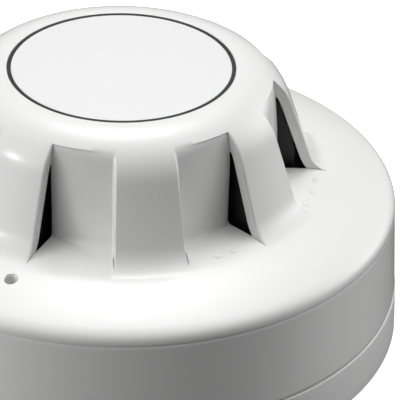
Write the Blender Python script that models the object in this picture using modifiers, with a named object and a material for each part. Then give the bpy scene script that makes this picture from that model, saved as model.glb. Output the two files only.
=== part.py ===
"""Point heat detector: a louvred detector head that twists onto a ceiling mounting base.

The back of the base lies on z = 0 and the dome points up +Z. Directions round the axis are given as a
bearing in degrees, 0 on -Y and 90 on +X, so a positive turn about +Z raises the bearing.
Sizes are in millimetres and are turned into metres as each mesh is made.
"""

from math import cos, hypot, pi, radians, sin, tan

import bmesh
import bpy
from mathutils import Matrix, Vector

MM = 0.001
ROUND = 64           # facets round the large turned parts
SMALL_ROUND = 16     # facets round screws, bosses and small components
GAP = 0.3            # clearance left between neighbouring pieces

# Mounting base
RADIUS = 50.35       # of the base's foot; base and skirt both taper a little towards the dome
BASE_DRAFT = 0.25
SEAM = 8.6           # height of the joint between base and head
PLATE = 2.0
RING_WALL = 2.75
CABLE_HOLE = 16.0
SLOT_WIDTH = 4.4
SLOT_REACH = (25.5, 34.5)

# Bayonet
LUG_COUNT = 3
LUG_BEARING = 20.0
LUG_SPAN = 24.0
LUG_BOTTOM, LUG_TOP = 5.6, 7.4
TAB_SPAN = 20.0
TAB_REACH = 46.9

# Head cover
HEIGHT = 50.6
SKIRT_FOOT = 49.95
WALL = 1.8
SKIRT_WALL = 2.0
ROLL = 10.0          # radius of the rounding between the flat top and the fins
ROLL_CENTRE = 20.53
CONE_TILT = 19.25    # the fins' lean from upright, in degrees
FIN_FOOT = 33.8      # height where the fins start to curve into the flange
FLANGE = (36.0, 30.43, 0.188, 0.010)   # radius and height at its inner edge, slope, and fall beyond it
FLANGE_OUT = 47.2
SKIRT_TOP = (49.2, 24.2)
LABEL_RECESS = (20.3, 0.6)
RING_RADII = (19.4, 20.0)
LABEL_RADIUS = 19.1

# Louvres: eight fins, and between each two a bay with one air window in its far end
BAY_FLOOR, BAY_TOP = 30.7, 49.0
BAY_STEP = 1.0       # depth of a bay's panel below the fins
WINDOW_EDGE = 27.7   # radius of the panel's edge at its window
BAYS = (             # bearing of the shallow side, bearing of the window, facet's second point (x, y)
    (10.75, 34.3, (5.6, -29.5)),
    (55.3, 79.5, (24.7, -17.1)),
)
VANE_BEARINGS = (38.2, 83.4)

# Lock screw, under its hole in the flange
LOCK_RADIUS, LOCK_BEARING = 40.6, -35.5
LOCK_HOLE = 1.1
LOCK_SCREW = 1.5
LOCK_TIP, LOCK_HEAD = 9.0, 17.0
STOP_BEARINGS = (-32.5, -29.2)

# Inside the head
CHASSIS_RADIUS, CHASSIS_WALL = 44.2, 1.8
CHASSIS_FOOT, CHASSIS_BOTTOM, CHASSIS_TOP = 3.3, 11.0, 13.0
BOARD_RADIUS, BOARD_BOTTOM, BOARD_TOP = 40.0, 15.0, 16.6
BOSS_PLACE, BOSS_RADIUS, BOSS_TOP = 39.0, 2.8, 28.0
BOSS_BEARINGS = (60.0, 180.0, 300.0)
LEG_PLACE, LEG_RADIUS = 29.0, 1.5
LEG_BEARINGS = (0.0, 120.0, 240.0)
BAFFLE_BOTTOM, BAFFLE_TOP = 27.4, 28.6
VANE_TOP, VANE_THICK = 46.9, 1.2
LED_RADIUS, LED_BEARING = 38.0, 143.7
SCREW, SCREW_HOLE, SCREW_HEAD = 1.5, 1.9, 2.8

# Terminals
TERMINAL_BEARINGS = (22.5, 157.5, 202.5, 337.5)
TERMINAL_SCREW_PLACE = 37.8
POST_TOP = 4.0

COLOURS = {          # colour, roughness, metallic
    "white_plastic": ((0.86, 0.86, 0.85), 0.35, 0.0),
    "base_plastic": ((0.84, 0.84, 0.83), 0.40, 0.0),
    "label": ((0.80, 0.80, 0.80), 0.30, 0.0),
    "black_ink": ((0.02, 0.02, 0.02), 0.40, 0.0),
    "black_plastic": ((0.02, 0.02, 0.022), 0.50, 0.0),
    "chassis_plastic": ((0.60, 0.60, 0.59), 0.50, 0.0),
    "board": ((0.03, 0.17, 0.07), 0.45, 0.0),
    "thermistor": ((0.35, 0.08, 0.03), 0.35, 0.0),
    "tinned": ((0.72, 0.72, 0.70), 0.30, 1.0),
    "chip": ((0.03, 0.03, 0.03), 0.45, 0.0),
    "capacitor": ((0.05, 0.07, 0.20), 0.35, 0.0),
    "resistor": ((0.55, 0.42, 0.25), 0.45, 0.0),
    "glass_body": ((0.60, 0.22, 0.08), 0.20, 0.0),
    "red_lens": ((0.70, 0.03, 0.02), 0.15, 0.0),
    "brass": ((0.78, 0.57, 0.22), 0.30, 1.0),
    "steel": ((0.60, 0.60, 0.62), 0.30, 1.0),
}


def start():
    """Empties the file and makes the collections, the axes that pieces hang on, and the materials."""
    for thing in list(bpy.data.objects):
        bpy.data.objects.remove(thing, do_unlink=True)
    for name in ("heat_detector", "cutters"):
        bpy.context.scene.collection.children.link(bpy.data.collections.new(name))
    x, y = at(LOCK_RADIUS, LOCK_BEARING)
    for name, place in (("base_axis", (0, 0)), ("head_axis", (0, 0)), ("lock_axis", (x, y))):
        axis = bpy.data.objects.new(name, None)
        axis.location = (place[0] * MM, place[1] * MM, 0)
        bpy.data.collections["heat_detector"].objects.link(axis)
    for name, (colour, roughness, metallic) in COLOURS.items():
        material = bpy.data.materials.new(name)
        material.use_nodes = True
        surface = material.node_tree.nodes["Principled BSDF"]
        surface.inputs["Base Color"].default_value = (*colour, 1.0)
        surface.inputs["Roughness"].default_value = roughness
        surface.inputs["Metallic"].default_value = metallic


def at(radius, bearing):
    """The point (x, y) at a radius and a bearing."""
    return radius * sin(radians(bearing)), -radius * cos(radians(bearing))


def add(name, shape, place=(0, 0, 0), turn=0.0):
    """Makes an object from a bmesh in millimetres. It starts as a cutter, until finish() makes it a part."""
    mesh = bpy.data.meshes.new(name)
    bmesh.ops.scale(shape, vec=(MM, MM, MM), verts=shape.verts)
    shape.to_mesh(mesh)
    shape.free()
    piece = bpy.data.objects.new(name, mesh)
    piece.location = [value * MM for value in place]
    piece.rotation_euler = (0, 0, radians(turn))
    piece.hide_render = True
    piece.display_type = "WIRE"
    bpy.data.collections["cutters"].objects.link(piece)
    return piece


def finish(piece, material, axis="head_axis"):
    """Turns a piece into a part: its material, its collection, and the axis that it moves with."""
    piece.data.materials.append(bpy.data.materials[material])
    piece.hide_render = False
    piece.display_type = "TEXTURED"
    bpy.data.collections["cutters"].objects.unlink(piece)
    bpy.data.collections["heat_detector"].objects.link(piece)
    parent = bpy.data.objects[axis]
    piece.parent = parent
    piece.matrix_parent_inverse = Matrix.Translation(parent.location).inverted()
    return piece


def boolean(target, operation, others, name):
    """Cuts or joins several pieces in one Boolean, from a collection of their own."""
    group = bpy.data.collections.new(f"{target.name}_{name}")
    bpy.data.collections["cutters"].children.link(group)
    for other in others:
        bpy.data.collections["cutters"].objects.unlink(other)
        group.objects.link(other)
    change = target.modifiers.new(name, "BOOLEAN")
    change.operation = operation
    change.operand_type = "COLLECTION"
    change.collection = group
    change.solver = "EXACT"
    return target


def turned(name, profile, closed=False, facets=ROUND, place=(0, 0, 0)):
    """A solid of revolution. The profile (radius, height) runs down the outer side."""
    shape = bmesh.new()
    points = [shape.verts.new((r, 0, z)) for r, z in profile]
    ends = zip(points, points[1:] + points[:1]) if closed else zip(points, points[1:])
    for a, b in ends:
        shape.edges.new((a, b))
    piece = add(name, shape, place)
    screw = piece.modifiers.new("Turn", "SCREW")
    screw.axis = "Z"
    screw.angle = 2 * pi
    screw.steps = screw.render_steps = facets
    screw.use_merge_vertices = True
    screw.merge_threshold = 0.000001
    screw.use_smooth_shade = True
    return piece


def cylinder(name, radius, bottom, top, x=0.0, y=0.0, facets=SMALL_ROUND):
    """An upright cylinder between two heights."""
    shape = bmesh.new()
    bmesh.ops.create_cone(
        shape, cap_ends=True, segments=facets, radius1=radius, radius2=radius, depth=top - bottom)
    return add(name, shape, (x, y, (bottom + top) / 2))


def box(name, size, centre, turn=0.0):
    """A box by its size and centre, turned about the vertical."""
    shape = bmesh.new()
    bmesh.ops.create_cube(shape, size=1.0)
    bmesh.ops.scale(shape, vec=size, verts=shape.verts)
    return add(name, shape, centre, turn)


def loft(name, sections, turn=0.0, place=(0, 0, 0)):
    """A closed solid through outlines that have the same number of points."""
    shape = bmesh.new()
    rings = [[shape.verts.new(point) for point in section] for section in sections]
    count = len(rings[0])
    for low, high in zip(rings, rings[1:]):
        for i in range(count):
            j = (i + 1) % count
            shape.faces.new((low[i], low[j], high[j], high[i]))
    shape.faces.new(rings[0][::-1])
    shape.faces.new(rings[-1])
    bmesh.ops.recalc_face_normals(shape, faces=shape.faces)
    return add(name, shape, place, turn)


def arc_block(name, radii, heights, centre, span, steps=6):
    """A block bent round the axis: between two radii, two heights and two bearings."""
    bearings = [centre + span * (i / steps - 0.5) for i in range(steps + 1)]
    outline = [at(radii[1], b) for b in bearings] + [at(radii[0], b) for b in reversed(bearings)]
    return loft(name, [[(x, y, z) for x, y in outline] for z in heights])


def radial_plate(name, outline, thickness, bearing):
    """A plate standing in a plane through the axis; its outline is (radius, height)."""
    half = thickness / 2
    sections = [[(side, -r, z) for r, z in outline] for side in (-half, half)]
    return loft(name, sections, turn=bearing)


# ---------------------------------------------------------------- mounting base


def base_moulding():
    """Round tray with its ring wall, bayonet lugs, terminal posts and the stop for the lock screw."""
    top = SEAM - GAP / 2
    inner = RADIUS - RING_WALL
    rim = RADIUS - BASE_DRAFT
    profile = [
        (rim - 0.15, top), (rim, top - 0.3), (RADIUS, 0.5), (RADIUS - 0.5, 0), (CABLE_HOLE, 0),
        (CABLE_HOLE, PLATE + 1.5), (CABLE_HOLE + 1.6, PLATE + 1.5), (CABLE_HOLE + 1.6, PLATE),
        (inner, PLATE), (inner, top)]
    base = turned("base_moulding", profile, closed=True)
    additions = []
    for i in range(LUG_COUNT):
        bearing = LUG_BEARING + 360 * i / LUG_COUNT
        additions.append(arc_block(
            f"lug_{i + 1}", (CHASSIS_RADIUS + 0.4, inner + 0.6), (LUG_BOTTOM, LUG_TOP), bearing, LUG_SPAN))
    for i, bearing in enumerate(TERMINAL_BEARINGS):
        x, y = at((25 + 41.8) / 2, bearing)
        size = (9, 41.8 - 25, POST_TOP - PLATE + 0.8)
        additions.append(box(f"post_{i + 1}", size, (x, y, (POST_TOP + PLATE - 0.8) / 2), bearing))
    centre = sum(STOP_BEARINGS) / 2
    additions.append(arc_block(
        "lock_stop", (38.2, 41.2), (PLATE - 0.8, 8.4), centre, STOP_BEARINGS[1] - STOP_BEARINGS[0], 2))
    boolean(base, "UNION", additions, "Add")
    cuts = [slot_cutter(i, side) for i, side in enumerate((-1, 1))]
    for i, bearing in enumerate(TERMINAL_BEARINGS):
        x, y = at(TERMINAL_SCREW_PLACE, bearing)
        cuts.append(cylinder(f"post_hole_{i + 1}", SCREW_HOLE, 1.0, POST_TOP + 1, x, y))
    boolean(base, "DIFFERENCE", cuts, "Cut")
    return finish(base, "base_plastic", "base_axis")


def slot_cutter(index, side):
    """A round-ended slot for a fixing screw, lying along X."""
    half = SLOT_WIDTH / 2
    near, far = SLOT_REACH[0] + half, SLOT_REACH[1] - half
    outline = []
    for centre, start_angle in ((far, -90), (near, 90)):
        for step in range(9):
            angle = radians(start_angle + 180 * step / 8)
            outline.append((side * (centre + half * cos(angle)), half * sin(angle)))
    return loft(f"slot_{index + 1}", [[(x, y, z) for x, y in outline] for z in (-1.0, PLATE + 1.0)])


def terminals():
    """Four terminals: a bent contact strip, a square clamp plate and a slotted screw on each post."""
    lift = POST_TOP + GAP
    strip = 0.6
    outer = 41.6
    outline = [
        (outer, lift), (outer, lift + strip), (34.2, lift + strip), (32.2, 6.9), (26.5, 6.9),
        (26.5, 6.9 - strip), (31.9, 6.9 - strip), (33.9, lift)]
    clamp_bottom = lift + strip + GAP
    for i, bearing in enumerate(TERMINAL_BEARINGS):
        x, y = at(TERMINAL_SCREW_PLACE, bearing)
        contact = radial_plate(f"terminal_contact_{i + 1}", outline, 7.0, bearing)
        hole = cylinder(f"contact_hole_{i + 1}", SCREW_HOLE, lift - 1, lift + 2, x, y)
        boolean(contact, "DIFFERENCE", [hole], "Cut")
        finish(contact, "brass", "base_axis")
        clamp = box(f"terminal_clamp_{i + 1}", (6.8, 6.8, 1.0), (x, y, clamp_bottom + 0.5), bearing)
        hole = cylinder(f"clamp_hole_{i + 1}", SCREW_HOLE, clamp_bottom - 1, clamp_bottom + 2, x, y)
        boolean(clamp, "DIFFERENCE", [hole], "Cut")
        finish(clamp, "steel", "base_axis")
        screw = pan_screw(f"terminal_screw_{i + 1}", clamp_bottom + 1.0 + GAP, 1.6, 5.1, x, y, bearing)
        finish(screw, "steel", "base_axis")


def pan_screw(name, seat, head, shank, x, y, bearing, up=True):
    """A slotted pan-head screw. Its head starts at the seat height and points up, or down."""
    sign = 1 if up else -1
    profile = [
        (0, head), (SCREW_HEAD * 0.7, head), (SCREW_HEAD, head * 0.55), (SCREW_HEAD, 0), (SCREW, 0),
        (SCREW, -shank + 0.4), (SCREW - 0.4, -shank), (0, -shank)]
    if not up:
        profile = [(r, -z) for r, z in reversed(profile)]
    screw = turned(name, profile, facets=SMALL_ROUND, place=(x, y, seat))
    slot = box(f"{name}_slot", (0.8, 7, 1.2), (x, y, seat + sign * head), bearing + 35)
    return boolean(screw, "DIFFERENCE", [slot], "Cut")


# ---------------------------------------------------------------- head cover


def fin_radius(z):
    """The radius of the fins' outer cone at a height. The cone is tangent to the rounding of the top."""
    tilt = radians(CONE_TILT)
    return ROLL_CENTRE + ROLL / cos(tilt) + (HEIGHT - ROLL - z) * tan(tilt)


def flange_height(radius):
    """The height of the gently arched flange at a radius."""
    inner, height, slope, fall = FLANGE
    return height - slope * (radius - inner) - fall * (radius - inner) ** 2


def facet_radius(bearing, window, second, inset):
    """The radius at which a bay's flat facet, moved inwards by an inset, crosses a bearing."""
    x1, y1 = at(WINDOW_EDGE, window)
    x2, y2 = second
    nx, ny = y1 - y2, x2 - x1
    length = hypot(nx, ny)
    nx, ny = nx / length, ny / length
    reach = nx * x1 + ny * y1
    if reach < 0:
        nx, ny, reach = -nx, -ny, -reach
    dx, dy = at(1.0, bearing)
    facing = nx * dx + ny * dy
    return (reach - inset) / facing if facing > 0.05 else 1000.0


def bay_cutter(name, bay, inset, first, last, floor, top, quadrant):
    """The space of one bay: outside its panel, between two bearings, mirrored into a quadrant."""
    _, window, second = bay
    steps, levels = 8, 5
    far = 46.0
    mirror_x, mirror_y = quadrant
    bearings = [first + (last - first) * i / steps for i in range(steps + 1)]
    sections = []
    for level in range(levels):
        z = floor + (top - floor) * level / (levels - 1)
        panel = fin_radius(z) - BAY_STEP - inset
        outline = [at(min(panel, facet_radius(b, window, second, inset)), b) for b in bearings]
        outline += [at(far, last), at(far, (first + last) / 2), at(far, first)]
        sections.append([(x * mirror_x, y * mirror_y, z) for x, y in outline])
    return loft(name, sections)


def bay_cutters(prefix, inset, first_extra, last_extra, floor, top):
    """All eight bays: two in each quadrant."""
    cutters = []
    for i, bay in enumerate(BAYS):
        for j, quadrant in enumerate(((1, 1), (-1, 1), (1, -1), (-1, -1))):
            cutters.append(bay_cutter(
                f"{prefix}_{i}{j}", bay, inset, bay[0] + first_extra, bay[1] + last_extra, floor, top, quadrant))
    return cutters


def arc(centre, radius, start_deg, end_deg, steps):
    """Points (radius, height) along an arc; the angle is measured up from the outward direction."""
    angles = [radians(start_deg + (end_deg - start_deg) * i / steps) for i in range(steps + 1)]
    return [(centre[0] + radius * cos(a), centre[1] + radius * sin(a)) for a in angles]


def cover_profile():
    """Outer outline of the head, from the label recess down to the foot of the skirt."""
    recess_radius, recess_depth = LABEL_RECESS
    roll = arc((ROLL_CENTRE, HEIGHT - ROLL), ROLL, 90, CONE_TILT, 6)
    flange = [(r, flange_height(r)) for r in (36.8, 40.0, 44.0, FLANGE_OUT)]
    return [
        (0, HEIGHT - recess_depth), (recess_radius, HEIGHT - recess_depth), (recess_radius, HEIGHT),
        *roll, (fin_radius(FIN_FOOT), FIN_FOOT), (34.6, 32.0), (35.5, 31.0), *flange,
        (48.2, 26.4), (48.95, 25.4), SKIRT_TOP, (SKIRT_FOOT, SEAM + GAP / 2), (0, SEAM + GAP / 2)]


def hollow_profile():
    """Outline of the space inside the head cover, running out past its open bottom."""
    roll = arc((ROLL_CENTRE, HEIGHT - ROLL), ROLL - WALL, 90, CONE_TILT, 4)
    flange = [(r, flange_height(r) - SKIRT_WALL) for r in (36.4, 41.0, 46.0)]
    return [
        (0, HEIGHT - WALL), *roll, (fin_radius(FIN_FOOT) - 1.9, FIN_FOOT), (33.0, 31.0), (34.2, 29.3),
        *flange, (47.2, 24.4), (47.5, 23.2), (SKIRT_FOOT - SKIRT_WALL, 4.0), (0, 4.0)]


def outer_cover():
    """Skirt, flange and louvred dome in one moulding, with its screw bosses and lock tube inside."""
    cover = turned("outer_cover", cover_profile())
    boolean(cover, "DIFFERENCE", bay_cutters("bay", 0.0, 0.0, 0.0, BAY_FLOOR, BAY_TOP), "Bays")
    hollow = turned("cover_hollow", hollow_profile())
    walls = bay_cutters("bay_wall", WALL, -3.4, -0.7, BAY_FLOOR - WALL, HEIGHT - 1.0)
    boolean(hollow, "DIFFERENCE", walls, "Walls")
    boolean(cover, "DIFFERENCE", [hollow], "Hollow")
    lock_x, lock_y = at(LOCK_RADIUS, LOCK_BEARING)
    bosses = [cylinder("lock_tube", 3.2, CHASSIS_TOP + 0.4, 27.9, lock_x, lock_y)]
    bores = [
        cylinder("lock_bore", LOCK_SCREW + 0.45, CHASSIS_TOP - 1, 26.3, lock_x, lock_y),
        cylinder("lock_hole", LOCK_HOLE, 26.0, 31.0, lock_x, lock_y)]
    for i, bearing in enumerate(BOSS_BEARINGS):
        x, y = at(BOSS_PLACE, bearing)
        bosses.append(cylinder(f"boss_{i + 1}", BOSS_RADIUS, CHASSIS_TOP + GAP, BOSS_TOP, x, y))
        bores.append(cylinder(f"boss_bore_{i + 1}", SCREW_HOLE, CHASSIS_TOP - 1, 23.5, x, y))
    led_x, led_y = at(LED_RADIUS, LED_BEARING)
    bores.append(cylinder("light_hole", 1.6, 26.0, 33.0, led_x, led_y))
    boolean(cover, "UNION", bosses, "Bosses")
    boolean(cover, "DIFFERENCE", bores, "Bores")
    return finish(cover, "white_plastic")


def label():
    """The round type label and the dark ring round it, in the recess on top."""
    bottom = HEIGHT - GAP
    finish(cylinder("type_label", LABEL_RADIUS, bottom, HEIGHT, facets=ROUND), "label")
    inner, outer = RING_RADII
    ring = turned("label_ring", [(outer, HEIGHT), (outer, bottom), (inner, bottom), (inner, HEIGHT)], closed=True)
    finish(ring, "black_ink")


# ---------------------------------------------------------------- inside the head


def inner_baffle():
    """Black ring plate on three legs, with a vane behind each air window."""
    baffle = turned("inner_baffle", [
        (31.0, BAFFLE_TOP), (31.0, BAFFLE_BOTTOM), (9.0, BAFFLE_BOTTOM), (9.0, BAFFLE_TOP)], closed=True)
    edge = 2.5
    root = BAFFLE_TOP - 0.6
    outline = [
        (15.0, root), (fin_radius(34.0) - edge, root), (fin_radius(34.0) - edge, 34.0),
        (fin_radius(45.0) - edge, 45.0), (23.5, VANE_TOP), (15.0, VANE_TOP)]
    pieces = []
    for i, bearing in enumerate(VANE_BEARINGS):
        for j, turn in enumerate((bearing, -bearing, 180 - bearing, 180 + bearing)):
            pieces.append(radial_plate(f"vane_{i}{j}", outline, VANE_THICK, turn))
    for i, bearing in enumerate(LEG_BEARINGS):
        x, y = at(LEG_PLACE, bearing)
        pieces.append(cylinder(f"leg_{i + 1}", LEG_RADIUS, CHASSIS_TOP + GAP, root, x, y))
    boolean(baffle, "UNION", pieces, "Vanes")
    return finish(baffle, "black_plastic")


def chassis():
    """Plate with a hanging wall, whose three tabs lie under the base's lugs."""
    inner = CHASSIS_RADIUS - CHASSIS_WALL
    body = turned("chassis", [
        (0, CHASSIS_TOP), (CHASSIS_RADIUS, CHASSIS_TOP), (CHASSIS_RADIUS, CHASSIS_FOOT),
        (inner, CHASSIS_FOOT), (inner, CHASSIS_BOTTOM), (0, CHASSIS_BOTTOM)])
    additions = []
    for i in range(LUG_COUNT):
        bearing = LUG_BEARING + 360 * i / LUG_COUNT
        heights = (CHASSIS_FOOT, LUG_BOTTOM - 0.5)
        additions.append(arc_block(f"tab_{i + 1}", (CHASSIS_RADIUS - 0.8, TAB_REACH), heights, bearing, TAB_SPAN))
    lock_x, lock_y = at(LOCK_RADIUS, LOCK_BEARING)
    additions.append(cylinder("lock_boss", 2.7, 9.3, CHASSIS_BOTTOM + 0.8, lock_x, lock_y))
    boolean(body, "UNION", additions, "Add")
    holes = [cylinder("lock_thread", LOCK_SCREW + GAP, 8.0, CHASSIS_TOP + 1, lock_x, lock_y)]
    for i, bearing in enumerate(BOSS_BEARINGS):
        x, y = at(BOSS_PLACE, bearing)
        holes.append(cylinder(f"screw_way_{i + 1}", SCREW_HOLE, 9.0, CHASSIS_TOP + 1, x, y))
        finish(pan_screw(
            f"chassis_screw_{i + 1}", CHASSIS_BOTTOM - GAP, 1.5, 11.0, x, y, bearing, up=False), "steel")
    boolean(body, "DIFFERENCE", holes, "Cut")
    return finish(body, "chassis_plastic")


def circuit_board():
    """Round board, notched round the bosses and the lock tube, with holes for the baffle's legs."""
    board = cylinder("circuit_board", BOARD_RADIUS, BOARD_BOTTOM, BOARD_TOP, facets=ROUND)
    places = [(*at(BOSS_PLACE, b), BOSS_RADIUS + 0.5) for b in BOSS_BEARINGS]
    places += [(*at(LEG_PLACE, b), LEG_RADIUS + 0.4) for b in LEG_BEARINGS]
    places.append((*at(LOCK_RADIUS, LOCK_BEARING), 3.6))
    cuts = [
        cylinder(f"board_hole_{i + 1}", r, BOARD_BOTTOM - 1, BOARD_TOP + 1, x, y)
        for i, (x, y, r) in enumerate(places)]
    boolean(board, "DIFFERENCE", cuts, "Cut")
    return finish(board, "board")


def thermistor():
    """The sensing bead on its two leads, held up in the air path by a post."""
    foot = BOARD_TOP + GAP
    post = turned("thermistor_post", [
        (0, 34.0), (1.6, 34.0), (2.0, 33.6), (2.2, 18.4), (3.6, 17.8), (3.6, foot), (0, foot)],
        facets=SMALL_ROUND)
    finish(post, "black_plastic")
    for side, name in ((-1, "thermistor_lead_left"), (1, "thermistor_lead_right")):
        finish(cylinder(name, 0.3, 34.0 + GAP, 39.6, 0.7 * side, 0, facets=8), "tinned")
    finish(bead("thermistor_bead", 1.5, 41.4), "thermistor")


def bead(name, radius, z, x=0.0, y=0.0):
    """A small round bead."""
    shape = bmesh.new()
    bmesh.ops.create_uvsphere(shape, u_segments=12, v_segments=8, radius=radius)
    return add(name, shape, (x, y, z))


def lying_cylinder(name, radius, length, x, y):
    """A small component lying along Y on the board."""
    piece = cylinder(name, radius, -length / 2, length / 2, facets=12)
    piece.location = (x * MM, y * MM, (BOARD_TOP + GAP + radius) * MM)
    piece.rotation_euler = (pi / 2, 0, 0)
    return piece


def components():
    """The parts on the board: the two-wire interface, the comparator and the alarm switch."""
    foot = BOARD_TOP + GAP
    finish(box("comparator_ic", (5.0, 4.0, 1.6), (-14, 7, foot + 0.8)), "chip")
    finish(box("alarm_driver_ic", (5.0, 4.0, 1.6), (-14, -3, foot + 0.8)), "chip")
    finish(box("bridge_rectifier", (6.4, 6.4, 2.6), (-20, -15, foot + 1.3)), "chip")
    capacitor = turned("smoothing_capacitor", [
        (0, foot + 8), (2.9, foot + 8), (3.2, foot + 7.6), (3.2, foot + 1.2), (2.95, foot + 0.8),
        (3.2, foot + 0.4), (3.2, foot), (0, foot)], facets=24, place=(17, 12, 0))
    finish(capacitor, "capacitor")
    finish(transistor(foot), "chip")
    finish(lying_cylinder("zener_diode", 0.9, 3.8, 5, -17), "glass_body")
    for i in range(4):
        finish(lying_cylinder(f"resistor_{i + 1}", 1.1, 6.2, -9 + 5.5 * i, 21), "resistor")
    finish(bead("reference_thermistor", 1.4, foot + 1.4, 23, -5), "thermistor")


def transistor(foot):
    """A moulded three-lead transistor: a round back and a flat front."""
    outline = [(2.3 * cos(radians(a)), 2.3 * sin(radians(a))) for a in range(-40, 221, 26)]
    return loft("alarm_transistor", [[(x, y, z) for x, y in outline] for z in (foot + 1.5, foot + 6.1)],
                place=(15, -11, 0))


def indicator():
    """The alarm LED on the board and the light pipe that carries it to the flange."""
    x, y = at(LED_RADIUS, LED_BEARING)
    foot = BOARD_TOP + GAP
    led = turned("alarm_led", [
        (0, foot + 4.2), (0.8, foot + 4.0), (1.4, foot + 3.2), (1.5, foot + 2.4), (1.5, foot + 0.8),
        (1.8, foot + 0.8), (1.8, foot), (0, foot)], facets=SMALL_ROUND, place=(x, y, 0))
    finish(led, "red_lens")
    pipe = turned("light_pipe", [
        (0, 31.0), (0.7, 30.85), (1.2, 30.4), (1.3, 29.8), (1.3, 22.0), (1.0, 21.6), (0, 21.6)],
        facets=SMALL_ROUND, place=(x, y, 0))
    finish(pipe, "red_lens")


def contact_blades():
    """Four sprung strips under the chassis, above the leaves of the base's terminals."""
    top = CHASSIS_BOTTOM - GAP
    strip = 0.6
    outline = [
        (20.5, top), (25.0, top), (28.2, 7.9), (31.0, 7.9), (33.0, 9.2), (33.4, 8.7),
        (31.2, 7.9 - strip), (27.9, 7.9 - strip), (24.6, top - strip), (20.5, top - strip)]
    for i, bearing in enumerate(TERMINAL_BEARINGS):
        finish(radial_plate(f"contact_blade_{i + 1}", outline, 5.0, bearing), "brass")


def lock_screw():
    """Grub screw in the chassis, reached through the small hole in the flange."""
    x, y = at(LOCK_RADIUS, LOCK_BEARING)
    screw = turned("lock_screw", [
        (0, LOCK_HEAD), (LOCK_SCREW - 0.2, LOCK_HEAD), (LOCK_SCREW, LOCK_HEAD - 0.2),
        (LOCK_SCREW, LOCK_TIP + 0.6), (LOCK_SCREW - 0.6, LOCK_TIP), (0, LOCK_TIP)],
        facets=SMALL_ROUND, place=(x, y, 0))
    socket = cylinder("lock_socket", 0.87, LOCK_HEAD - 2.0, LOCK_HEAD + 1, x, y, facets=6)
    boolean(screw, "DIFFERENCE", [socket], "Cut")
    return finish(screw, "steel", "lock_axis")


start()
base_moulding()
terminals()
outer_cover()
label()
inner_baffle()
chassis()
circuit_board()
thermistor()
components()
indicator()
contact_blades()
lock_screw()
for part in bpy.data.collections["heat_detector"].objects:
    if part.type == "MESH":
        part.data.shade_smooth()
        part.data.set_sharp_from_angle(angle=radians(30))
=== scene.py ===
"""Looks of the point heat detector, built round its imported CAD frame.

Lengths are in millimetres, and become metres as each mesh is made. A bearing is an angle round the axis in
degrees, 0 on -Y and 90 on +X. The back of the mounting base lies on z = 0 and the dome points up +Z.
"""

from math import cos, hypot, pi, radians, sin, tan

import bmesh
import bpy
import numpy as np
from mathutils import Matrix, Vector


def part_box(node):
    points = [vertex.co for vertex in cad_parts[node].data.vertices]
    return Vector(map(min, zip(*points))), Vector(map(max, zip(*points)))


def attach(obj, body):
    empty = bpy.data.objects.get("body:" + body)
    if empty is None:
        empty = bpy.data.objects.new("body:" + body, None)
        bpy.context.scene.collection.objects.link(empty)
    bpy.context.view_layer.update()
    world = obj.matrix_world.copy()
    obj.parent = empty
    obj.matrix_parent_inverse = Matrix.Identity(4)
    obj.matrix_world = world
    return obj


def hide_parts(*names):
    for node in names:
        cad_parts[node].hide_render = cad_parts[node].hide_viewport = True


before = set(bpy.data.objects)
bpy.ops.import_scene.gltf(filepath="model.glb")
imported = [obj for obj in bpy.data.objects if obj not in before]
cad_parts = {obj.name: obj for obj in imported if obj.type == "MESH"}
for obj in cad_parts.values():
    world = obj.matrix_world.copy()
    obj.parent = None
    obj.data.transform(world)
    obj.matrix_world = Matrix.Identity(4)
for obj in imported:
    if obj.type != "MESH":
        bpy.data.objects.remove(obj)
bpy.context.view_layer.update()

MM = 0.001


def high(node):
    """The highest corner of a CAD node, in millimetres."""
    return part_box(node)[1] / MM


def middle(node):
    """The middle of a CAD node's box, in millimetres."""
    low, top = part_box(node)
    return (low + top) / (2 * MM)


# Driving sizes, read from the frame
HEIGHT = round(high("outer_cover").z, 3)
RADIUS = round(high("base_moulding").x, 3)
SKIRT_FOOT = round(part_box("outer_cover")[0].z / MM, 3)
SKIRT_RADIUS = round(high("outer_cover").x, 3)
BASE_TOP = round(high("base_moulding").z, 3)
RING_OUT = round(high("label_ring").x, 3)
LABEL_OUT = round(high("type_label").x, 3)

# Head cover
WALL, SKIRT_WALL = 1.8, 2.0
ROLL, ROLL_CENTRE = 10.0, 20.53          # rounding between the flat top and the fins
TILT = radians(19.25)                    # the fins' lean from upright
FILLET = 5.4                             # rounding between the fins and the flange
TOE = 37.75                              # radius where that rounding has ended
FLANGE = (36.0, 30.43, 0.188, 0.010)     # radius and height of its inner edge, slope, and fall beyond it
FLANGE_OUT = 47.2
SKIRT_OUT, SKIRT_HIGH = 49.2, 24.2
RECESS = (RING_OUT + 0.06, 0.6)          # radius and depth of the label's recess

# Louvres: eight fins, and between each two a bay whose far end is an air window
FLOOR = 30.75
STEP = 1.0                               # depth of a bay's panel below the fins
WINDOW_EDGE = 27.7                       # radius of the panel's edge at its window
WINDOW_TOP = 44.9
BAYS = (                                 # bearing of the closed side, of the window, facet's second point
    (10.75, 34.3, (5.6, -29.5)),
    (55.3, 79.5, (24.7, -17.1)),
)
SOFT_CREASE, SOFT_LIP, SOFT_FLOOR = 4.0, 1.1, 0.3
SIDE_HALF = 0.72                         # half the width of a fin's sloping side, in degrees
SIDE_SHIFT = 3.2                         # how far the side lies inside the fin on the inner face, in degrees
EDGE = 0.38                              # rounding of the fins' edges at a window
FIN_EDGE = 31.5                          # radius of the fins' edge at a window, about half way up
PANEL_EDGE = (1.6, 0.6)                 # width and depth of the panels' rounded edges at a window
FOOT = (0.4, 1.4)                        # rounding at a panel's foot: beside the window, and what is added
FOOT_REACH = 16.0                        # how far from the window all of it is added, in degrees

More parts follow.
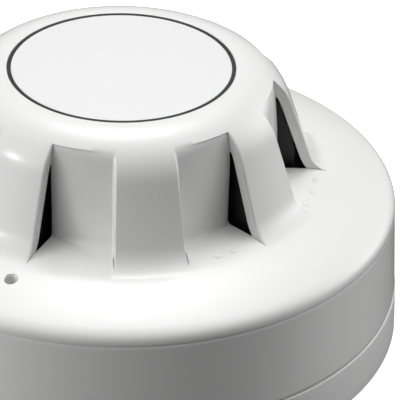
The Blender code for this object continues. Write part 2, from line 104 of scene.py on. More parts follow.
WEBS = (45, 90, 135, 225, 270, 315)      # bearings of the webs behind the open fins
WEB_HALF = 0.6                           # half the thickness of a web
WEB_REACH = (25.5, 36.0)                 # radii of a web before the cover's own shape trims it
WEB_FOOT, WEB_TOP = 33.0, 47.0

# Lock hole and light pipe
LOCK = middle("lock_screw")
PIPE = middle("light_pipe")
LOCK_HOLE = 1.12


# ---------------------------------------------------------------- small helpers


def smooth(x):
    """0 below 0, 1 above 1, and a smooth step between."""
    t = np.clip(x, 0.0, 1.0)
    return t * t * (3 - 2 * t)


def lesser(a, b, width):
    """The lesser of two values, rounded where they cross."""
    near = np.maximum(width - np.abs(a - b), 0.0) / width
    return np.minimum(a, b) - near * near * width / 4


def at(radius, bearing, z=0.0):
    """The point at a radius, a bearing and a height."""
    return Vector((radius * sin(radians(bearing)), -radius * cos(radians(bearing)), z))


def revolved(name, profile, facets, centre=(0.0, 0.0), closed=True):
    """A solid of revolution. The profile (radius, height) is an outline, or runs from axis to axis."""
    count = len(profile)
    points = []
    for j in range(facets):
        turn = 2 * pi * j / facets
        points += [(centre[0] + r * cos(turn), centre[1] + r * sin(turn), z) for r, z in profile]
    faces = []
    for j in range(facets):
        k = (j + 1) % facets
        for i in range(count if closed else count - 1):
            n = (i + 1) % count
            corners = [j * count + i, k * count + i, k * count + n, j * count + n]
            on_axis = (profile[i][0] == 0, profile[n][0] == 0)
            if on_axis == (True, True):
                continue
            faces.append(corners)
    return collapse(mesh_of(name, points, faces))


def mesh_of(name, points, faces):
    """Makes a mesh object of points in millimetres and faces, without welding."""
    mesh = bpy.data.meshes.new(name)
    mesh.from_pydata([Vector(p) * MM for p in points], [], faces)
    piece = bpy.data.objects.new(name, mesh)
    bpy.context.scene.collection.objects.link(piece)
    return piece


def collapse(piece):
    """Welds coinciding points, which drops faces that fold away, and points every face outwards."""
    shape = bmesh.new()
    shape.from_mesh(piece.data)
    bmesh.ops.remove_doubles(shape, verts=shape.verts, dist=0.0008 * MM)
    bmesh.ops.recalc_face_normals(shape, faces=shape.faces)
    shape.to_mesh(piece.data)
    shape.free()
    return piece


def prism(name, outline, low, top):
    """An upright prism over an outline of (x, y) points."""
    count = len(outline)
    points = [(x, y, low) for x, y in outline] + [(x, y, top) for x, y in outline]
    faces = [list(range(count))[::-1], list(range(count, 2 * count))]
    faces += [[i, (i + 1) % count, count + (i + 1) % count, count + i] for i in range(count)]
    return collapse(mesh_of(name, points, faces))


def arc(centre, radius, first, last, steps):
    """Points (radius, height) along an arc, its angles measured up from the outward direction."""
    angles = [radians(first + (last - first) * i / steps) for i in range(steps + 1)]
    return [(centre[0] + radius * cos(a), centre[1] + radius * sin(a)) for a in angles]


def carve(target, operation, tools):
    """Joins closed tools into one object, and unites it, cuts it or intersects it with the target."""
    shape = bmesh.new()
    for tool in tools:
        shape.from_mesh(tool.data)
        bpy.data.objects.remove(tool)
    mesh = bpy.data.meshes.new("tools")
    shape.to_mesh(mesh)
    shape.free()
    tool = bpy.data.objects.new("tools", mesh)
    bpy.context.scene.collection.objects.link(tool)
    change = target.modifiers.new("Carve", "BOOLEAN")
    change.operation = operation
    change.solver = "MANIFOLD"
    change.object = tool
    bake(target)
    bpy.data.objects.remove(tool)
    return target


def bake(piece):
    """Applies a piece's modifiers to its mesh."""
    bpy.context.view_layer.update()
    seen = piece.evaluated_get(bpy.context.evaluated_depsgraph_get())
    mesh = bpy.data.meshes.new_from_object(seen)
    piece.modifiers.clear()
    piece.data = mesh
    return piece


def dress(piece, material, body, nodes=(), crease=32.0):
    """Shades a piece, gives it its material, ties it to its body, and hides the CAD nodes it replaces."""
    piece.data.materials.clear()
    piece.data.materials.append(MATERIALS[material])
    piece.data.shade_smooth()
    piece.data.set_sharp_from_angle(angle=radians(crease))
    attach(piece, body)
    if nodes:
        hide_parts(*nodes)
    return piece


# ---------------------------------------------------------------- head cover


def cone_radius(z, inset):
    """Radius of the fins' cone, tangent to the rounding of the top, at a height."""
    return ROLL_CENTRE + (ROLL - inset) / cos(TILT) + (HEIGHT - ROLL - z) * tan(TILT)


def dome_radius(z, inset):
    """Radius of the rounding of the top, and of the cone below it, at a height."""
    up = z - (HEIGHT - ROLL)
    roll = ROLL_CENTRE + np.sqrt(np.maximum((ROLL - inset) ** 2 - up ** 2, 0.0))
    return np.where(up > (ROLL - inset) * sin(TILT), roll, cone_radius(z, inset))


def flange_height(r):
    """Height of the gently arched flange at a radius."""
    inner, height, slope, fall = FLANGE
    return height - slope * (r - inner) - fall * (r - inner) ** 2


def fillet_centre():
    """Centre of the rounding that is tangent to both the fins' cone and the flange."""
    r = TOE
    for _ in range(20):
        lean = np.arctan(FLANGE[2] + 2 * FLANGE[3] * (r - FLANGE[0]))
        z = flange_height(r) + FILLET * cos(lean)
        centre = cone_radius(z, 0.0) + FILLET / cos(TILT)
        r = centre - FILLET * sin(lean)
    return centre, z


FILLET_R, FILLET_Z = fillet_centre()


def fin_radius(z, inset=0.0):
    """Radius of the fins at a height, from the top's rounding down to the fillet at their foot."""
    radius = dome_radius(z, inset)
    size = FILLET + inset
    foot = FILLET_R - np.sqrt(np.maximum(size ** 2 - (z - FILLET_Z) ** 2, 0.0))
    return np.where(z < FILLET_Z - size * sin(TILT), foot, radius)


def fin_height(r, inset=0.0):
    """Height of the fins' fillet, and then of the flange, at a radius."""
    size = FILLET + inset
    curve = FILLET_Z - np.sqrt(np.maximum(size ** 2 - (r - FILLET_R) ** 2, 0.0))
    return np.where(r < TOE - 0.05, curve, flange_height(r) - inset)


def facet_radius(bearing, bay, inset):
    """Radius at which a bay's flat facet, moved inwards by an inset, crosses each bearing."""
    _, window, (x2, y2) = BAYS[bay]
    x1, y1, _ = at(WINDOW_EDGE, window)
    nx, ny = y1 - y2, x2 - x1
    size = hypot(nx, ny)
    nx, ny = nx / size, ny / size
    reach = nx * x1 + ny * y1
    if reach < 0:
        nx, ny, reach = -nx, -ny, -reach
    facing = nx * sin(radians(bearing)) - ny * cos(radians(bearing))
    return (reach - inset) / facing if facing > 0.05 else 1000.0


def bay_radius(bearing, bay, z, inset=0.0):
    """Radius of a bay's panel: the fins' cone set back a step, cut by the facet, under the top's rounding."""
    panel = lesser(cone_radius(z, inset) - STEP, facet_radius(bearing, bay, inset), SOFT_CREASE)
    return lesser(dome_radius(z, inset), panel, SOFT_LIP)


def quadrant():
    """The columns of a quarter of the cover, each (bearing, inner bearing, share of bay, bay, edge, window).

    Share runs from 0 on a fin to 1 in a bay. Edge is how far the column is rounded off beside a window, and
    window marks the last column before the gap.
    """
    columns = []
    start = 0.0
    start_inner = 0.0
    for bay, (side, window, _) in enumerate(BAYS):
        fin_end = side - SIDE_HALF - 0.25
        for t in np.linspace(0, 1, 9):
            inner_end = fin_end - SIDE_SHIFT
            inner = start_inner + (inner_end - start_inner) * t
            columns.append((start + (fin_end - start) * t, inner, 0, bay, 0, 0))
        for t in np.linspace(-1, 1, 11):
            bearing = side + SIDE_HALF * t
            columns.append((bearing, bearing - SIDE_SHIFT, float(smooth((t + 1) / 2)), bay, 0, 0))
        first = side + SIDE_HALF + 0.3
        reach = PANEL_EDGE[0] / radians(1) / WINDOW_EDGE
        last = window - reach - 0.4
        for t in np.linspace(0, 1, 22):
            inner = first - SIDE_SHIFT + (last - first + SIDE_SHIFT) * t
            columns.append((first + (last - first) * t, inner, 1, bay, 0, 0))
        for angle in range(0, 91, 9):
            bearing = window - reach * (1 - sin(radians(angle)))
            drop = PANEL_EDGE[1] * (1 - cos(radians(angle)))
            columns.append((bearing, bearing, 1, bay, drop, angle == 90))
        reach = EDGE / radians(1) / FIN_EDGE
        for angle in (90, 60, 30, 0):
            bearing = window + reach * (1 - sin(radians(angle)))
            columns.append((bearing, bearing, 0, bay, EDGE * (1 - cos(radians(angle))), 0))
        start = start_inner = window + reach + 0.35
    for t in np.linspace(0, 1, 6):
        bearing = start + (90 - start) * t
        columns.append((bearing, bearing, 0, 1, 0, 0))
    return columns


def columns_round():
    """The columns of the whole cover, with the quarter mirrored across X and Y."""
    quarter = quadrant()
    whole = []
    for k in range(4):
        flip = k % 2 == 1
        steps = quarter[::-1] if flip else quarter
        for n, (bearing, inner, share, bay, edge, window) in enumerate(steps[:-1]):
            if flip:
                window = n + 1 < len(steps) and steps[n + 1][5]
            whole.append({
                "own": bearing, "own_inner": inner, "share": share, "bay": bay, "edge": edge,
                "gap": bool(window),
                "bearing": 90 * (k + 1) - bearing if flip else 90 * k + bearing,
                "inner": 90 * (k + 1) - inner if flip else 90 * k + inner})
    return whole


def wall_heights():
    """Heights of the rows down the louvres, closer together at the lip and the foot."""
    lip = np.linspace(48.3, 46.7, 10)
    upper = np.linspace(46.4, WINDOW_TOP, 5)
    middle_part = np.linspace(44.3, 33.6, 17)
    foot = (33.0, 32.5, 32.0, 31.7, 31.45, 31.2, 31.02, 30.9, 30.81, FLOOR)
    return np.concatenate([lip, upper, middle_part, foot])


def wall_rows(column, heights, inset):
    """Points (radius, height) of one column down the louvres. An inset of 0 gives the outer face."""
    z = np.array(heights)
    if inset:
        z = z - inset * (smooth((z - 45.5) / 2.3) + smooth((33.2 - z) / (33.2 - FLOOR)))
    bearing = column["own_inner"] if inset else column["own"]
    fin = fin_radius(z, inset)
    bay = bay_radius(bearing, column["bay"], z, inset)
    if not inset:
        share = column["share"]
        _, window, _ = BAYS[column["bay"]]
        rounding = FOOT[0] + FOOT[1] * float(smooth((window - bearing) / FOOT_REACH))
        low = np.clip((FLOOR + rounding - z) / max(rounding, 1e-6), 0.0, 1.0)
        drop = np.minimum(column["edge"], np.maximum(fin - bay, 0.0) / 2)
        panel_drop = column["edge"] * smooth((WINDOW_TOP - z) / 9.0) * smooth((z - FLOOR) / 1.5 + 0.35)
        bay = bay + rounding * (1 - np.sqrt(1 - low * low)) - panel_drop * (share > 0.5)
        fin = fin - drop
    share = column["share"]
    r = fin * (1 - share) + bay * share
    if not inset:
        fall = share * (FLOOR - floor_height(r[-1]))
        z = z - fall * smooth((FLOOR + rounding - z) / rounding)
    return r, z


def floor_height(r):
    """Height of a bay's flat floor, and of the flange it runs out into, at a radius."""
    return lesser(FLOOR, flange_height(r), SOFT_FLOOR)


def floor_rows(column, start, inset, steps):
    """Points (radius, height) of one column from the foot of the louvres out to the toe."""
    t = np.array(steps)
    r = start + (TOE - start) * t
    lift = column["edge"] * (1 - t) * (column["share"] < 0.5) if not inset else 0.0
    fin = fin_height(r + lift, inset)
    bay = floor_height(r) - inset
    share = column["share"]
    return r, fin * (1 - share) + bay * share


def top_rows(inset):
    """Points (radius, height) from the axis over the label's recess and down the start of the rounding."""
    recess, depth = RECESS
    if inset:
        flat = [(r, HEIGHT - inset) for r in (0.0, 6.0, 12.0, 16.0, 18.0, 19.0, 19.6, 20.0, 20.3)]
    else:
        floor = HEIGHT - depth
        flat = [
            (0.0, floor), (6.0, floor), (12.0, floor), (18.0, floor), (recess - 0.02, floor),
            (recess, floor + 0.02), (recess, HEIGHT - 0.12), (recess + 0.04, HEIGHT - 0.03),
            (recess + 0.13, HEIGHT)]
    return flat + arc((ROLL_CENTRE, HEIGHT - ROLL), ROLL - inset, 90, 53, 9)


def rim_rows(inset):
    """Points (radius, height) from the toe over the flange and down the skirt to its foot."""
    flange = [(r, flange_height(r)) for r in np.linspace(TOE, FLANGE_OUT, 8)[1:]]
    low = SKIRT_RADIUS
    skirt = [(SKIRT_OUT + (low - SKIRT_OUT) * t, SKIRT_HIGH + (SKIRT_FOOT + 0.35 - SKIRT_HIGH) * t)
             for t in (0.04, 0.25, 0.5, 0.75, 0.97)]
    foot = [(low, SKIRT_FOOT + 0.3), (low - 0.04, SKIRT_FOOT + 0.12), (low - 0.14, SKIRT_FOOT + 0.03),
            (low - 0.3, SKIRT_FOOT)]
    outer = flange + shoulder() + skirt + foot
    if not inset:
        return outer
    inner = [(r, z - inset) for r, z in flange[:-1]]
    inner += [(46.7, 25.6), (47.2, 24.9), (47.4, 24.0), (47.5, 22.8), (low - SKIRT_WALL, SKIRT_FOOT)]
    return spaced(inner, len(outer))


def spaced(points, count):
    """The same line through evenly spaced points."""
    line = np.array(points)
    along = np.concatenate([[0.0], np.cumsum(np.hypot(*np.diff(line, axis=0).T))])
    marks = np.linspace(0.0, along[-1], count)
    return list(zip(np.interp(marks, along, line[:, 0]), np.interp(marks, along, line[:, 1])))


def shoulder():
    """The rounding from the flange to the skirt, and the fine parting line just below it."""
    slope = FLANGE[2] + 2 * FLANGE[3] * (FLANGE_OUT - FLANGE[0])
    first = Vector((FLANGE_OUT, flange_height(FLANGE_OUT)))
    last = Vector((SKIRT_OUT, SKIRT_HIGH + 0.55))
    corner_r = SKIRT_OUT - 0.02
    corner = Vector((corner_r, first.y - slope * (corner_r - FLANGE_OUT)))
    points = []
    for i in range(1, 10):
        t = i / 9
        points.append(first * (1 - t) ** 2 + corner * 2 * t * (1 - t) + last * t * t)
    line = [(SKIRT_OUT + 0.01, SKIRT_HIGH + 0.3), (SKIRT_OUT - 0.03, SKIRT_HIGH + 0.22),
            (SKIRT_OUT - 0.03, SKIRT_HIGH + 0.16), (SKIRT_OUT + 0.01, SKIRT_HIGH + 0.08)]
    return [tuple(p) for p in points] + line


def skin(columns, inset):
    """The points of one face of the cover, rows by columns by (x, y, z)."""
    heights = wall_heights()
    steps = np.linspace(0, 1, 13)[1:] ** 1.15
    top = top_rows(inset)
    rim = rim_rows(inset)
    sheets = []
    for column in columns:
        wall_r, wall_z = wall_rows(column, heights, inset)
        floor_r, floor_z = floor_rows(column, wall_r[-1], inset, steps)
        r = np.concatenate([[p[0] for p in top], wall_r, floor_r, [p[0] for p in rim]])
        z = np.concatenate([[p[1] for p in top], wall_z, floor_z, [p[1] for p in rim]])
        bearing = radians(column["inner"] if inset else column["bearing"])
        sheets.append(np.stack([r * sin(bearing), -r * cos(bearing), z], axis=1))
    return np.stack(sheets, axis=1), len(top)


def cover_shell():
    """Skirt, flange and louvred dome in one moulding, with an air window at the far end of each bay."""
    columns = columns_round()
    outer, top_count = skin(columns, 0.0)
    inner, _ = skin(columns, WALL)
    rows, count, _ = outer.shape
    heights = wall_heights()
    first = top_count + int(np.argmin(np.abs(heights - WINDOW_TOP)))
    last = top_count + len(heights) - 1
    faces = []
    edges = {}
    shift = rows * count
    for i in range(rows - 1):
        for j in range(count):
            if columns[j]["gap"] and first <= i < last:
                continue
            k = (j + 1) % count
            quad = (i * count + j, (i + 1) * count + j, (i + 1) * count + k, i * count + k)
            faces.append(quad)
            faces.append(tuple(n + shift for n in reversed(quad)))
            for a, b in zip(quad, quad[1:] + quad[:1]):
                edges[(a, b)] = True
    rim = [(a, b) for a, b in edges if (b, a) not in edges and not (a < count and b < count)]
    faces += [(b, a, a + shift, b + shift) for a, b in rim]
    points = np.concatenate([outer.reshape(-1, 3), inner.reshape(-1, 3)])
    cover = collapse(mesh_of("cover_shell", points.tolist(), faces))
    carve(cover, "UNION", bosses() + pips() + webs())
    carve(cover, "DIFFERENCE", bores())
    return cover


def webs():
    """The upright webs behind the open fins, kept within the cover's own walls."""
    made = []
    for bearing in WEBS:
        out, side = at(1.0, bearing), at(WEB_HALF, bearing + 90)
        inner, outer = WEB_REACH
        corners = [out * r + side * s for r, s in ((inner, -1), (outer, -1), (outer, 1), (inner, 1))]
        web = prism("web", [tuple(p.xy) for p in corners], WEB_FOOT, WEB_TOP)
        low, top = WEB_FOOT - 1, WEB_TOP + 1
        core = [(float(dome_radius(z, WALL / 2)), z) for z in (low, 38.0, 43.0, 45.0, 46.0, 47.0, top)]
        core = [(0, low)] + core + [(0, top)]
        made.append(carve(web, "INTERSECT", [revolved("web_core", core, 96, closed=False)]))
    return made


def bosses():
    """The screw bosses and the lock tube under the flange."""
    tubes = []
    for i in range(3):
        screw = middle(f"chassis_screw_{i + 1}")
        tubes.append(revolved(f"boss_{i}", [(0, 28.4), (2.8, 28.4), (2.8, 13.3), (0, 13.3)], 40, screw.xy))
    tubes.append(revolved("lock_tube", [(0, 28.2), (3.2, 28.2), (3.2, 13.4), (0, 13.4)], 40, LOCK.xy))
    return tubes


def bores():
    """The lock hole with its rounded lip, the bores of the bosses, and the light pipe's hole."""
    cuts = []
    for i in range(3):
        screw = middle(f"chassis_screw_{i + 1}")
        cuts.append(revolved(f"bore_{i}", [(0, 23.5), (1.9, 23.5), (1.9, 12), (0, 12)], 32, screw.xy))
    top = flange_height(hypot(LOCK.x, LOCK.y))
    lip = [(LOCK_HOLE + 0.16, top + 0.6), (LOCK_HOLE + 0.16, top + 0.1), (LOCK_HOLE + 0.05, top - 0.04),
           (LOCK_HOLE, top - 0.3), (LOCK_HOLE, 26.5), (1.95, 26.3), (1.95, 12)]
    cuts.append(revolved("lock_bore", [(0, top + 0.6)] + lip + [(0, 12)], 48, LOCK.xy))
    cuts.append(revolved("pipe_bore", [(0, 33), (1.42, 33), (1.42, 26), (0, 26)], 40, PIPE.xy))
    return cuts


# Plain raised pips on the flange: their radius and bearings, and their shape
PIPS = ((34.7, (19.8, 25.2)), (34.9, (59.5, 66.5, 73.5)))
PIP_SIZE = (0.95, 0.62, 0.40)            # half length, half width and half height
PIP_SINK = 0.18                          # how far a pip's middle lies below the flange
PIP_LEAN = 0.2                           # its tilt with the slope of the flange, in radians


def pips():
    """The raised pips: flattened domes sunk in the flange, and the same on the far side."""
    made = []
    for radius, bearings in PIPS:
        for bearing in bearings:
            for turn in (0, 180):
                shape = bmesh.new()
                bmesh.ops.create_uvsphere(shape, u_segments=32, v_segments=16, radius=1.0)
                size = Matrix.Diagonal((*(half * MM for half in PIP_SIZE), 1.0))
                lean = Matrix.Rotation(PIP_LEAN, 4, "X")
                spin = Matrix.Rotation(radians(bearing + turn), 4, "Z")
                place = at(radius, bearing + turn, flange_height(radius) - PIP_SINK) * MM
                shape.transform(Matrix.Translation(place) @ spin @ lean @ size)
                mesh = bpy.data.meshes.new("pip")
                shape.to_mesh(mesh)
                shape.free()
                pip = bpy.data.objects.new("pip", mesh)
                bpy.context.scene.collection.objects.link(pip)
                made.append(pip)
    return made


# ---------------------------------------------------------------- label


def label_disc():
    """The round type label: a thin disc with a rounded edge."""
    low = HEIGHT - 0.3
    profile = [(0, HEIGHT - 0.05), (LABEL_OUT + 0.1, HEIGHT - 0.05), (LABEL_OUT + 0.2, HEIGHT - 0.07),
               (LABEL_OUT + 0.25, HEIGHT - 0.13), (LABEL_OUT + 0.25, low), (0, low)]
    return revolved("label_disc", profile, 256, closed=False)


def label_band():
    """The black ring round the label, with softened edges. Its black is painted shade, for the shade in the
    narrow gap round the label.
    """
    low = HEIGHT - 0.3
    inner = LABEL_OUT + 0.28
    outer = RING_OUT
    top = HEIGHT - 0.02
    profile = [(outer, top - 0.05), (outer, low), (inner, low), (inner, top - 0.05), (inner + 0.05, top),
               (outer - 0.05, top)]
    return revolved("label_band", profile, 256)


# ---------------------------------------------------------------- mounting base


LUG_BEARINGS = (20.0, 140.0, 260.0)
TERMINALS = (1, 2, 3, 4)
BASE_DRAFT = 0.25
CABLE_HOLE, PLATE, RING_WALL = 16.0, 2.0, 2.75


def sector(name, radii, heights, first, last, steps=16):
    """A block bent round the axis, between two radii, two heights and two bearings."""
    bearings = np.linspace(first, last, steps + 1)
    outline = [at(radii[1], b).xy for b in bearings] + [at(radii[0], b).xy for b in bearings[::-1]]
    return prism(name, [tuple(p) for p in outline], *heights)


def base_ring():
    """The mounting base: tray, ring wall, bayonet lugs, terminal posts, lock stop, cable entry and slots."""
    inner = RADIUS - RING_WALL
    rim = RADIUS - BASE_DRAFT
    round_top = arc((rim - 0.3, BASE_TOP - 0.3), 0.3, 90, 0, 5)
    round_foot = arc((RADIUS - 0.7, 0.7), 0.7, 0, -90, 6)
    wall = [(rim + BASE_DRAFT * t, BASE_TOP - 0.3 - (BASE_TOP - 1.0) * t) for t in (0.33, 0.67)]
    hole = [(CABLE_HOLE + 0.3, 0), (CABLE_HOLE, 0.3), (CABLE_HOLE, 3.3), (CABLE_HOLE + 0.2, 3.5),
            (CABLE_HOLE + 1.4, 3.5), (CABLE_HOLE + 1.6, 3.3), (CABLE_HOLE + 1.6, PLATE)]
    profile = [(inner + 0.2, BASE_TOP), *round_top, *wall, *round_foot, *hole, (inner - 0.8, PLATE),
               (inner - 0.24, PLATE + 0.24), (inner, PLATE + 0.8), (inner, BASE_TOP - 0.2)]
    base = revolved("base_ring", profile, 288)
    extras = [sector(f"lug_{i}", (44.6, inner + 0.6), (5.6, 7.4), b - 12, b + 12)
              for i, b in enumerate(LUG_BEARINGS)]
    cuts = []
    for i in TERMINALS:
        screw = middle(f"terminal_screw_{i}")
        bearing = np.degrees(np.arctan2(screw.x, -screw.y))
        out = at(1.0, bearing)
        side = at(1.0, bearing + 90)
        corners = [out * r + side * s for r, s in ((25.0, -4.5), (41.8, -4.5), (41.8, 4.5), (25.0, 4.5))]
        extras.append(prism(f"post_{i}", [tuple(c.xy) for c in corners], PLATE - 0.8, 4.0))
        cuts.append(revolved(f"post_hole_{i}", [(0, 5), (1.9, 5), (1.9, 1), (0, 1)], 32, screw.xy))
    bearing = np.degrees(np.arctan2(LOCK.x, -LOCK.y))
    extras.append(sector("lock_stop", (38.2, 41.2), (PLATE - 0.8, 8.4), bearing + 3.0, bearing + 6.3, 4))
    for side in (-1, 1):
        outline = [(side * (32.3 + 2.2 * cos(a)), 2.2 * sin(a)) for a in np.linspace(-pi / 2, pi / 2, 13)]
        outline += [(side * (27.7 + 2.2 * cos(a)), 2.2 * sin(a)) for a in np.linspace(pi / 2, 3 * pi / 2, 13)]
        cuts.append(prism(f"slot_{side}", outline, -1.0, 3.0))
    carve(base, "UNION", extras)
    carve(base, "DIFFERENCE", cuts)
    return base


# ---------------------------------------------------------------- materials


class Paint:
    """Builds one node material round a Principled BSDF."""

    def __init__(self, name, colour, roughness, metallic=0.0):
        self.material = bpy.data.materials.new(name)
        self.material.use_nodes = True
        self.tree = self.material.node_tree
        self.surface = self.tree.nodes["Principled BSDF"]
        self.colour = colour
        self.surface.inputs["Base Color"].default_value = (*colour, 1.0)
        self.surface.inputs["Roughness"].default_value = roughness
        self.surface.inputs["Metallic"].default_value = metallic
        self.place = self.node("ShaderNodeTexCoord").outputs["Object"]

    def node(self, kind, **settings):
        made = self.tree.nodes.new(kind)
        for key, value in settings.items():
            setattr(made, key, value)
        return made

    def link(self, a, b):
        self.tree.links.new(a, b)

    def noise(self, size, detail=2.0, stretch=None):
        """Noise whose features are about one size across, in millimetres."""
        made = self.node("ShaderNodeTexNoise")
        made.inputs["Scale"].default_value = 1 / (size * MM)
        made.inputs["Detail"].default_value = detail
        place = self.place
        if stretch:
            mapping = self.node("ShaderNodeMapping")
            mapping.inputs["Scale"].default_value = stretch
            self.link(place, mapping.inputs["Vector"])
            place = mapping.outputs["Vector"]
        self.link(place, made.inputs["Vector"])
        return made.outputs["Fac"]

    def spread(self, value, low, high_value, first=0.0, last=1.0):
        """Maps a 0 to 1 value to a range of numbers."""
        made = self.node("ShaderNodeMapRange")
        for key, number in (("From Min", first), ("From Max", last), ("To Min", low), ("To Max", high_value)):
            made.inputs[key].default_value = number
        self.link(value, made.inputs["Value"])
        return made.outputs["Result"]

    def mottle(self, amount, size, tint=None):
        """Cloudy variation of the colour, between the colour and a slightly darker tint."""
        darker = tint or tuple(c * (1 - amount) for c in self.colour)
        mix = self.node("ShaderNodeMix", data_type="RGBA")
        mix.inputs["A"].default_value = (*darker, 1.0)
        mix.inputs["B"].default_value = (*self.colour, 1.0)
        self.link(self.noise(size, 2.0), mix.inputs["Factor"])
        self.link(mix.outputs["Result"], self.surface.inputs["Base Color"])
        return self

    def gloss(self, low, high_value, size):
        """Cloudy variation of the roughness."""
        self.link(self.spread(self.noise(size, 2.0), low, high_value), self.surface.inputs["Roughness"])
        return self

    def grain(self, size, height, detail=1.0, stretch=None):
        """A fine bump, its features one size across and one height deep, in millimetres."""
        bump = self.node("ShaderNodeBump")
        bump.inputs["Strength"].default_value = 1.0
        bump.inputs["Distance"].default_value = height * MM
        self.link(self.noise(size, detail, stretch), bump.inputs["Height"])
        self.link(bump.outputs["Normal"], self.surface.inputs["Normal"])
        return self


def moulded(name, colour, rough, grain, mottle=0.03):
    """Moulded plastic: an even colour with faint flow clouds, uneven gloss and a fine spark-eroded grain."""
    paint = Paint(name, colour, sum(rough) / 2).mottle(mottle, 9.0).gloss(*rough, 5.0).grain(*grain)
    return paint.material


def brushed(name, colour, rough, stretch=(1.0, 1.0, 6.0)):
    """Bare metal with a fine drawn grain."""
    paint = Paint(name, colour, sum(rough) / 2, 1.0).mottle(0.18, 1.6).gloss(*rough, 0.8)
    return paint.grain(0.25, 0.004, 2.0, stretch).material


def make_materials():
    """Every material in the scene, by name."""
    white = (0.86, 0.86, 0.855)
    made = {
        "cover": moulded("cover_white_abs", white, (0.15, 0.20), (0.35, 0.0004), 0.012),
        "base": moulded("base_white_abs", (0.85, 0.85, 0.845), (0.28, 0.36), (0.35, 0.0005), 0.012),
        "label": moulded("label_film", (0.83, 0.83, 0.83), (0.42, 0.50), (0.12, 0.0008), 0.012),
        # The label ring's near-black colour is painted shade, for the shade in the narrow gap round the
        # label.
        "band": moulded("label_ring_painted_shade", (0.012, 0.012, 0.013), (0.40, 0.55), (0.10, 0.0006), 0.3),
        "black": moulded("black_abs", (0.012, 0.012, 0.013), (0.45, 0.60), (0.30, 0.002), 0.2),
        "chassis": moulded("chassis_abs", (0.60, 0.60, 0.585), (0.45, 0.55), (0.30, 0.002), 0.04),
        "chip": moulded("chip_epoxy", (0.025, 0.025, 0.027), (0.50, 0.62), (0.15, 0.004), 0.25),
        # The lock screw's dark colour is painted shade, for the shade at the bottom of the lock hole.
        "dark": brushed("dark_steel_painted_shade", (0.10, 0.10, 0.10), (0.35, 0.5)),
        "steel": brushed("zinc_plated_steel", (0.62, 0.62, 0.64), (0.22, 0.38)),
        "brass": brushed("rolled_brass", (0.80, 0.58, 0.24), (0.20, 0.35), (1.0, 4.0, 1.0)),
        "tinned": brushed("tinned_copper", (0.75, 0.75, 0.73), (0.25, 0.40)),
    }
    board = Paint("solder_mask", (0.02, 0.16, 0.06), 0.3)
    board.mottle(0.35, 2.2, (0.03, 0.24, 0.09)).gloss(0.25, 0.4, 1.5)
    made["board"] = board.grain(0.9, 0.01).material
    bead = Paint("thermistor_glass", (0.32, 0.07, 0.02), 0.12)
    bead.surface.inputs["Coat Weight"].default_value = 0.6
    made["thermistor"] = bead.mottle(0.4, 0.8).gloss(0.08, 0.22, 0.6).grain(0.5, 0.01).material
    sleeve = Paint("capacitor_sleeve", (0.03, 0.05, 0.16), 0.3)
    made["capacitor"] = sleeve.mottle(0.2, 1.5).gloss(0.25, 0.4, 1.0).grain(0.4, 0.004).material
    resistor = Paint("resistor_lacquer", (0.55, 0.40, 0.24), 0.35)
    made["resistor"] = resistor.mottle(0.2, 0.8).gloss(0.3, 0.45, 0.5).grain(0.3, 0.005).material
    diode = Paint("diode_glass", (0.55, 0.20, 0.07), 0.12)
    diode.surface.inputs["Coat Weight"].default_value = 0.5
    made["diode"] = diode.mottle(0.3, 0.6).gloss(0.08, 0.2, 0.5).grain(0.4, 0.003).material
    lens = Paint("red_acrylic", (0.60, 0.015, 0.012), 0.12)
    lens.surface.inputs["Coat Weight"].default_value = 0.7
    lens.surface.inputs["Subsurface Weight"].default_value = 0.25
    lens.surface.inputs["Subsurface Radius"].default_value = (0.002, 0.0004, 0.0004)
    made["lens"] = lens.mottle(0.25, 1.2).gloss(0.08, 0.18, 0.8).grain(0.5, 0.002).material
    return made


MATERIALS = make_materials()

CARRIED = {                              # material, by the start of the CAD node's name
    "inner_baffle": "black", "chassis": "chassis", "circuit_board": "board", "thermistor_bead": "thermistor",
    "thermistor_lead": "tinned", "thermistor_post": "black", "reference_thermistor": "thermistor",
    "comparator_ic": "chip", "alarm_driver_ic": "chip", "bridge_rectifier": "chip",
    "alarm_transistor": "chip",
    "smoothing_capacitor": "capacitor", "zener_diode": "diode", "resistor": "resistor", "alarm_led": "lens",
    "light_pipe": "lens", "contact_blade": "brass", "chassis_screw": "steel", "terminal_contact": "brass",
    "terminal_clamp": "steel", "terminal_screw": "steel", "lock_screw": "dark",
}


def carry(replaced):
    """Gives every CAD node that is still shown its material."""
    for name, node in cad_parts.items():
        if name in replaced:
            continue
        key = max((k for k in CARRIED if name.startswith(k)), key=len)
        node.data.materials.clear()
        node.data.materials.append(MATERIALS[CARRIED[key]])


# ---------------------------------------------------------------- stage, light and camera


FLOOR_HALF, FLOOR_LEVEL = 3.0, -0.0002   # in metres


def floor():
    """A plain white table under the object, which glows evenly and lights nothing."""
    mesh = bpy.data.meshes.new("studio_floor")
    s, z = FLOOR_HALF, FLOOR_LEVEL
    mesh.from_pydata([(-s, -s, z), (s, -s, z), (s, s, z), (-s, s, z)], [], [(0, 1, 2, 3)])
    stage = bpy.data.objects.new("studio_floor", mesh)
    bpy.context.scene.collection.objects.link(stage)
    material = bpy.data.materials.new("studio_white")
    material.use_nodes = True
    surface = material.node_tree.nodes["Principled BSDF"]
    surface.inputs["Base Color"].default_value = (0.9, 0.9, 0.9, 1.0)
    surface.inputs["Roughness"].default_value = 1.0
    surface.inputs["Specular IOR Level"].default_value = 0.0
    surface.inputs["Emission Color"].default_value = (1.0, 1.0, 1.0, 1.0)
    surface.inputs["Emission Strength"].default_value = 0.9
    mesh.materials.append(material)
    stage.visible_diffuse = False
    stage.visible_glossy = False


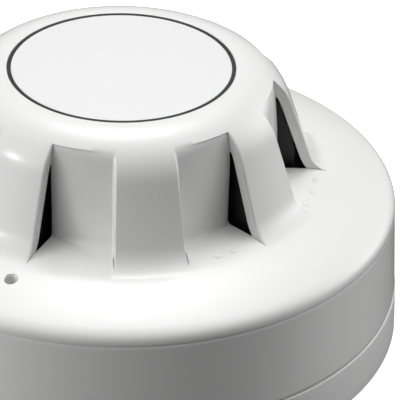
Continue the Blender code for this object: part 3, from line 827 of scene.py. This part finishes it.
# Lights at infinity: bearing from the camera's side, height above the horizon, strength, sharpness
LIGHTS = (
    (0, 90, 0.42, 30), (0, 90, 1.2, 4), (180, 65, 7.9, 30), (90, 65, 1.3, 30), (-90, 65, 0.43, 30),
    (180, 25, 0.43, 8), (-65, 20, 3.6, 16), (-73, 17, 26.0, 400), (115, 20, 4.25, 16), (90, 20, 0.3, 16),
    (-90, -20, 2.0, 8), (90, -20, 0.9, 8),
)
CAMERA_BEARING, CAMERA_HEIGHT, CAMERA_DISTANCE = -10.5, 30.99, 532.0
CAMERA_AIM = (14.02, -2.60, 23.64)
CAMERA_ROLL = 1.34
LENS = 266.8


def light():
    """Studio light as lobes of the world. Two lie below the horizon, for light that the table sends up."""
    world = bpy.data.worlds.new("studio")
    bpy.context.scene.world = world
    world.use_nodes = True
    tree = world.node_tree
    tree.nodes.clear()
    way = tree.nodes.new("ShaderNodeTexCoord").outputs["Generated"]
    total = None
    for bearing, height, strength, sharpness in LIGHTS:
        aim = at(cos(radians(height)), bearing + CAMERA_BEARING, sin(radians(height)))
        facing = tree.nodes.new("ShaderNodeVectorMath")
        facing.operation = "DOT_PRODUCT"
        facing.inputs[1].default_value = aim
        tree.links.new(way, facing.inputs[0])
        value = facing.outputs["Value"]
        for operation, number in (("MAXIMUM", 0.0), ("POWER", sharpness), ("MULTIPLY", strength)):
            step = tree.nodes.new("ShaderNodeMath")
            step.operation = operation
            step.inputs[1].default_value = number
            tree.links.new(value, step.inputs[0])
            value = step.outputs["Value"]
        if total is None:
            total = value
        else:
            join = tree.nodes.new("ShaderNodeMath")
            join.operation = "ADD"
            tree.links.new(total, join.inputs[0])
            tree.links.new(value, join.inputs[1])
            total = join.outputs["Value"]
    sky = tree.nodes.new("ShaderNodeBackground")
    tree.links.new(total, sky.inputs["Strength"])
    out = tree.nodes.new("ShaderNodeOutputWorld")
    tree.links.new(sky.outputs["Background"], out.inputs["Surface"])


def camera():
    """The camera, at the height and distance of the object's portrait."""
    data = bpy.data.cameras.new("camera")
    data.lens = LENS
    data.clip_start, data.clip_end = 0.05, 20.0
    eye = bpy.data.objects.new("camera", data)
    bpy.context.scene.collection.objects.link(eye)
    height = radians(CAMERA_HEIGHT)
    back = at(cos(height), CAMERA_BEARING, sin(height))
    turn = back.to_track_quat("Z", "Y").to_matrix().to_4x4()
    roll = Matrix.Rotation(radians(CAMERA_ROLL), 4, "Z")
    place = (Vector(CAMERA_AIM) + back * CAMERA_DISTANCE) * MM
    eye.matrix_world = Matrix.Translation(place) @ turn @ roll
    bpy.context.scene.camera = eye


dress(cover_shell(), "cover", "head", ["outer_cover"])
dress(label_disc(), "label", "head", ["type_label"])
dress(label_band(), "band", "head", ["label_ring"])
dress(base_ring(), "base", "base", ["base_moulding"])
carry({"outer_cover", "type_label", "label_ring", "base_moulding"})
floor()
light()
camera()
bpy.context.scene.view_settings.view_transform = "Standard"
